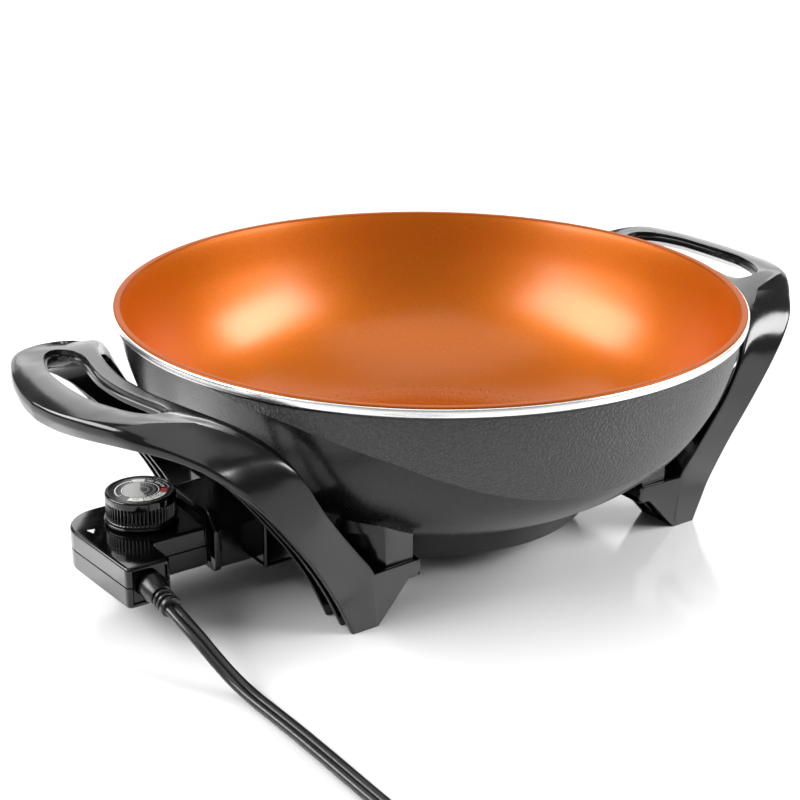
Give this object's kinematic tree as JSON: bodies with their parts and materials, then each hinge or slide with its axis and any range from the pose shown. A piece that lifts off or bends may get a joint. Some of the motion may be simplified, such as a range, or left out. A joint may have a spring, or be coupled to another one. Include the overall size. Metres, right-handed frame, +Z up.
{
  "type": "electric skillet",
  "caption": "Deep round electric skillet with a copper-coloured inside, two arched handle legs and a plug-in probe temperature controller with a short mains lead.",
  "frame": {"origin": "on the table under the centre of the pan", "axes": "+X along the two handles, controller on the -X side, +Z up, mains lead leaving towards -Y"},
  "size_m": [0.5405, 0.4991, 0.1262],
  "materials": {
    "black_cast": "dark paint, part grained and part smooth",
    "copper_coating": "satin copper-coloured non-stick",
    "bare_aluminium": "bright turned",
    "element_steel": "dull",
    "cover_grey": "matt dark",
    "steel": "plated",
    "white_ceramic": "matt",
    "black_phenolic": "moulded gloss",
    "black_case": "moulded gloss",
    "brown_phenolic": "matt",
    "brass": "drawn",
    "bimetal": "rolled",
    "copper_alloy": "rolled",
    "wire_white": "sleeved",
    "dial_print": "printed dial",
    "black_pvc": "satin"
  },
  "bodies": {
    "pan": {"pan_body": "black_cast", "nonstick_lining": "copper_coating", "rim_band": "bare_aluminium", "heating_element": "element_steel", "element_terminals": "steel", "terminal_insulators": "white_ceramic", "base_cover": "cover_grey", "base_cover_screws": "steel", "terminal_shroud": "black_phenolic", "shroud_screws": "steel", "left_handle": "black_phenolic", "right_handle": "black_phenolic", "left_handle_screws": "steel", "right_handle_screws": "steel"},
    "controller": {"controller_upper_case": "black_case", "controller_lower_case": "black_case", "case_screws": "steel", "contact_carrier": "brown_phenolic", "contact_sockets": "brass", "probe": "steel", "thermostat_bracket": "steel", "bimetal_blade": "bimetal", "blade_spacer": "white_ceramic", "contact_blades": "copper_alloy", "lead_wires": "wire_white", "shaft_bushing": "brass", "strain_relief": "black_pvc", "cord_run": "black_pvc", "cord_coil": "black_pvc", "cord_tail": "black_pvc", "cord_tie": "black_pvc", "plug_body": "black_pvc", "plug_blades": "brass"},
    "dial": {"dial_shaft": "steel", "shaft_clip": "steel", "dial_knob": "black_case", "dial_face": "dial_print"},
    "pusher": {"ceramic_pusher": "white_ceramic"}
  },
  "joints": [
    {"name": "controller_pull", "type": "slide", "parent": "pan", "child": "controller", "axis": [-1, 0, 0], "range_m": [0, 0.078]},
    {"name": "dial_turn", "type": "hinge", "parent": "controller", "child": "dial", "pos_m": [-0.174, 0, 0.045], "axis": [0, 0, -1], "range_deg": [0, 300]},
    {"name": "pusher_travel", "type": "slide", "parent": "controller", "child": "pusher", "axis": [0, 0, -1], "range_m": [0, 0.0015]}
  ],
  "couplings": [
    {"joint": "pusher_travel", "follows": "dial_turn", "m_per_rad": 0.00028647}
  ]
}
